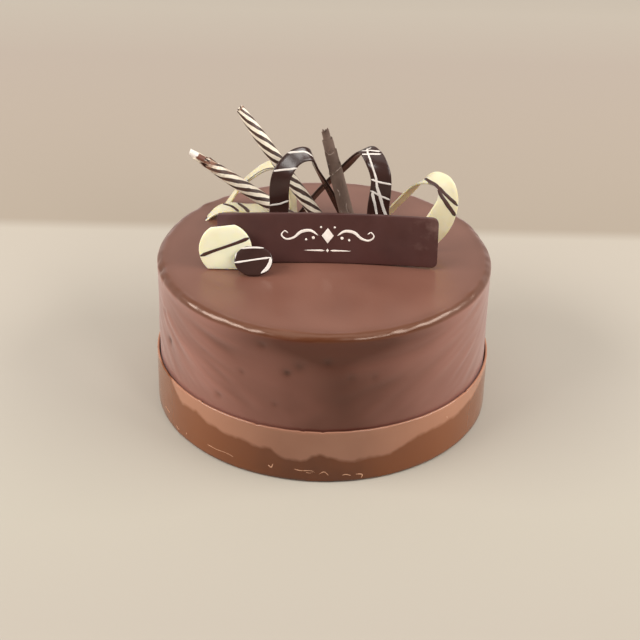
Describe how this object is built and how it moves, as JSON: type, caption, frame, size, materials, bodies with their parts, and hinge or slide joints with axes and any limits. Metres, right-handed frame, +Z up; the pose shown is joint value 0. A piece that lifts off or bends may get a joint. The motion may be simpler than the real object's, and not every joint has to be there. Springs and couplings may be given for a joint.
{
  "type": "chocolate ice cream cake",
  "caption": "Round chocolate-glazed ice cream cake with a chocolate band round its foot and a garnish of plaque, discs, rolled pencils and bent leaves standing on its top.",
  "frame": {"origin": "centre of the cake's underside, on the surface it rests on", "axes": "+Z up, front towards -Y where the plaque faces, +X to the right seen from the front"},
  "size_m": [0.1848, 0.1848, 0.1592],
  "materials": {
    "glaze": "satin milk chocolate glaze over frozen cake",
    "band": "glossy milk chocolate sheet",
    "plaque": "satin dark chocolate with a white ornament",
    "dark": "glossy dark chocolate with white drizzled lines",
    "white": "satin white chocolate with dark drizzled lines",
    "marbled": "white chocolate rolled with dark spiral stripes"
  },
  "bodies": {
    "root": {"cake_body": "glaze", "chocolate_band": "band", "plaque": "plaque", "white_disc": "white", "dark_disc": "dark", "pencil_tall": "marbled", "pencil_low": "marbled", "dark_roll": "dark", "dark_loop_left": "dark", "dark_loop_right": "dark", "white_loop_right": "white", "white_arch_left": "white", "white_curl_low": "white"}
  },
  "joints": []
}
